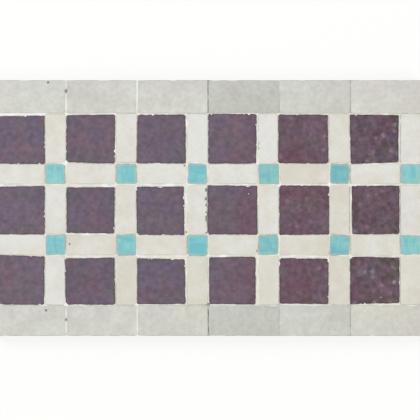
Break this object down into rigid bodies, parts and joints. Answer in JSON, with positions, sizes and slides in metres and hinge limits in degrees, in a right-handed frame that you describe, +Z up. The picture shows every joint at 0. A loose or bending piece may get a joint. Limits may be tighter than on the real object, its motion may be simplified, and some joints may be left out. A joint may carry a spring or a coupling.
{
  "type": "zellige border tile",
  "caption": "Zellige border panel: dark glazed squares in a lattice of white strips with turquoise crossings, pale grey edge tiles, all hand-cut and set in a mortar bed.",
  "frame": {"origin": "centre of the flat mortar back, on the floor that the panel lies on", "axes": "+X along the border, +Y across it towards the upper edge, +Z up out of the glazed faces"},
  "size_m": [0.6, 0.36, 0.022],
  "materials": {
    "aubergine_glaze": "dull violet-brown glaze, mottled and pitted, chipped at the edges",
    "turquoise_glaze": "streaky turquoise glaze",
    "white_glaze": "milky white glaze, uneven in tone",
    "pearl_grey_glaze": "cloudy pale grey glaze with pinholes",
    "lime_mortar": "matt off-white lime and white cement mortar"
  },
  "bodies": {
    "root": {"aubergine_square_row1_1": "aubergine_glaze", "aubergine_square_row1_2": "aubergine_glaze", "aubergine_square_row1_3": "aubergine_glaze", "aubergine_square_row1_4": "aubergine_glaze", "aubergine_square_row1_5": "aubergine_glaze", "aubergine_square_row1_6": "aubergine_glaze", "aubergine_square_row2_1": "aubergine_glaze", "aubergine_square_row2_2": "aubergine_glaze", "aubergine_square_row2_3": "aubergine_glaze", "aubergine_square_row2_4": "aubergine_glaze", "aubergine_square_row2_5": "aubergine_glaze", "aubergine_square_row2_6": "aubergine_glaze", "aubergine_square_row3_1": "aubergine_glaze", "aubergine_square_row3_2": "aubergine_glaze", "aubergine_square_row3_3": "aubergine_glaze", "aubergine_square_row3_4": "aubergine_glaze", "aubergine_square_row3_5": "aubergine_glaze", "aubergine_square_row3_6": "aubergine_glaze", "grey_lower_edge_tile_1": "pearl_grey_glaze", "grey_lower_edge_tile_2": "pearl_grey_glaze", "grey_lower_edge_tile_3": "pearl_grey_glaze", "grey_lower_edge_tile_4": "pearl_grey_glaze", "grey_lower_edge_tile_5": "pearl_grey_glaze", "grey_lower_edge_tile_6": "pearl_grey_glaze", "grey_upper_edge_tile_1": "pearl_grey_glaze", "grey_upper_edge_tile_2": "pearl_grey_glaze", "grey_upper_edge_tile_3": "pearl_grey_glaze", "grey_upper_edge_tile_4": "pearl_grey_glaze", "grey_upper_edge_tile_5": "pearl_grey_glaze", "grey_upper_edge_tile_6": "pearl_grey_glaze", "mortar_bed": "lime_mortar", "turquoise_square_row1_1": "turquoise_glaze", "turquoise_square_row1_2": "turquoise_glaze", "turquoise_square_row1_3": "turquoise_glaze", "turquoise_square_row1_4": "turquoise_glaze", "turquoise_square_row1_5": "turquoise_glaze", "turquoise_square_row1_6": "turquoise_glaze", "turquoise_square_row2_1": "turquoise_glaze", "turquoise_square_row2_2": "turquoise_glaze", "turquoise_square_row2_3": "turquoise_glaze", "turquoise_square_row2_4": "turquoise_glaze", "turquoise_square_row2_5": "turquoise_glaze", "turquoise_square_row2_6": "turquoise_glaze", "white_lying_strips_1": "white_glaze", "white_lying_strips_2": "white_glaze", "white_lying_strips_3": "white_glaze", "white_lying_strips_4": "white_glaze", "white_lying_strips_5": "white_glaze", "white_lying_strips_6": "white_glaze", "white_upright_strips_1": "white_glaze", "white_upright_strips_2": "white_glaze", "white_upright_strips_3": "white_glaze", "white_upright_strips_4": "white_glaze", "white_upright_strips_5": "white_glaze", "white_upright_strips_6": "white_glaze"}
  },
  "joints": []
}
